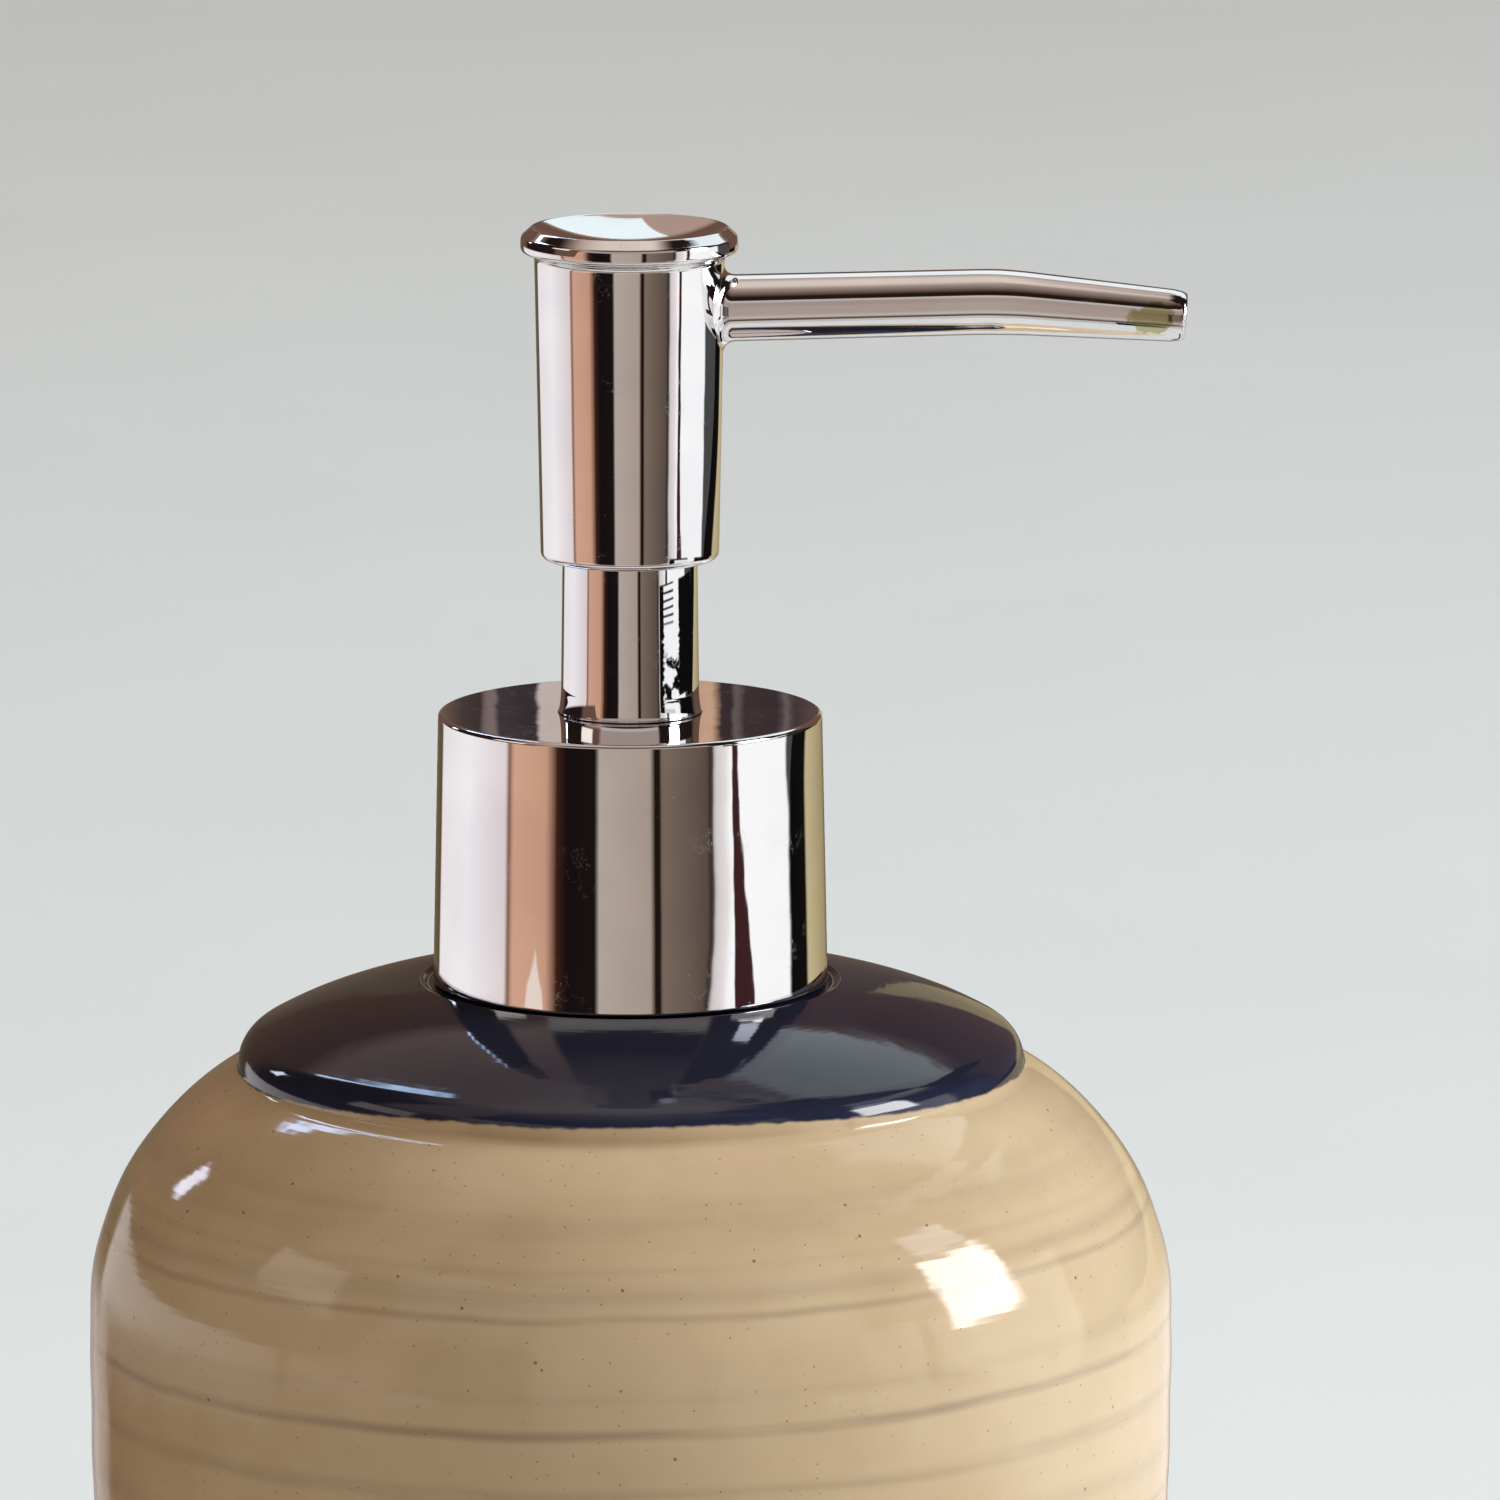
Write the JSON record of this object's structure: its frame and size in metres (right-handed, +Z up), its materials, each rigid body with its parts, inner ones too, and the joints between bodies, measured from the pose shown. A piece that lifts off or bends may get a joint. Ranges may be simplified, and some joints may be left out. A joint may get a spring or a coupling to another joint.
{
  "type": "soap pump dispenser",
  "caption": "Round glazed ceramic jar with a navy tier and beige body, and a chrome-plated push pump with a long slim spout screwed on its neck",
  "frame": {"origin": "on the surface the jar stands on, at the middle of the object's outline, which is the jar's axis", "axes": "+Z up the jar's axis, +X along the spout, +Y to the back"},
  "size_m": [0.0983, 0.0974, 0.1799],
  "materials": {
    "glazed_jar": "glossy beige glaze with fine iron specks and faint grey bands, navy glaze on the top tier, bare clay foot ring",
    "chrome_plate": "bright mirror chrome plating",
    "white_plastic": "moulded white plastic, fine satin",
    "natural_plastic": "milky natural plastic, smooth",
    "soft_seal": "soft pale seal, matte",
    "steel": "plain drawn steel"
  },
  "bodies": {
    "jar": {"jar": "glazed_jar", "neck_cement": "soft_seal", "neck_insert": "white_plastic"},
    "gasket": {"neck_gasket": "soft_seal"},
    "pump_body": {"pump_housing": "natural_plastic", "ball_stop": "white_plastic", "dip_tube": "natural_plastic", "guide_bush": "white_plastic", "guide_sleeve": "chrome_plate", "return_spring": "steel"},
    "collar": {"collar_shell": "chrome_plate", "closure": "white_plastic"},
    "piston": {"piston": "soft_seal"},
    "head": {"actuator_shell": "chrome_plate", "actuator_core": "white_plastic", "nozzle_tube": "natural_plastic", "stem": "white_plastic", "piston_rod": "white_plastic"},
    "inlet_ball": {"inlet_ball": "steel"},
    "outlet_ball": {"outlet_ball": "steel"}
  },
  "joints": [
    {"name": "pump_lift", "type": "slide", "parent": "jar", "child": "gasket", "axis": [0, 0, 1], "range_m": [0, 0.135]},
    {"name": "pump_rise", "type": "slide", "parent": "gasket", "child": "pump_body", "axis": [0, 0, 1], "range_m": [0, 0.0054]},
    {"name": "collar_turn", "type": "hinge", "parent": "pump_body", "child": "collar", "pos_m": [0, 0, 0.124], "axis": [0, 0, 1], "range_deg": [0, 450]},
    {"name": "head_press", "type": "slide", "parent": "pump_body", "child": "piston", "axis": [0, 0, -1], "range_m": [0, 0.0135], "stiffness_N_per_m": 600, "springref_m": -0.006, "deforming": ["return_spring"]},
    {"name": "head_swivel", "type": "hinge", "parent": "piston", "child": "head", "pos_m": [0, 0, 0.1725], "axis": [0, 0, 1], "continuous": true},
    {"name": "inlet_ball_lift", "type": "slide", "parent": "pump_body", "child": "inlet_ball", "axis": [0, 0, 1], "range_m": [0, 0.0018]},
    {"name": "outlet_ball_lift", "type": "slide", "parent": "head", "child": "outlet_ball", "axis": [0, 0, 1], "range_m": [0, 0.0012]}
  ],
  "couplings": [
    {"joint": "pump_rise", "follows": "collar_turn", "m_per_rad": 0.00067323}
  ]
}
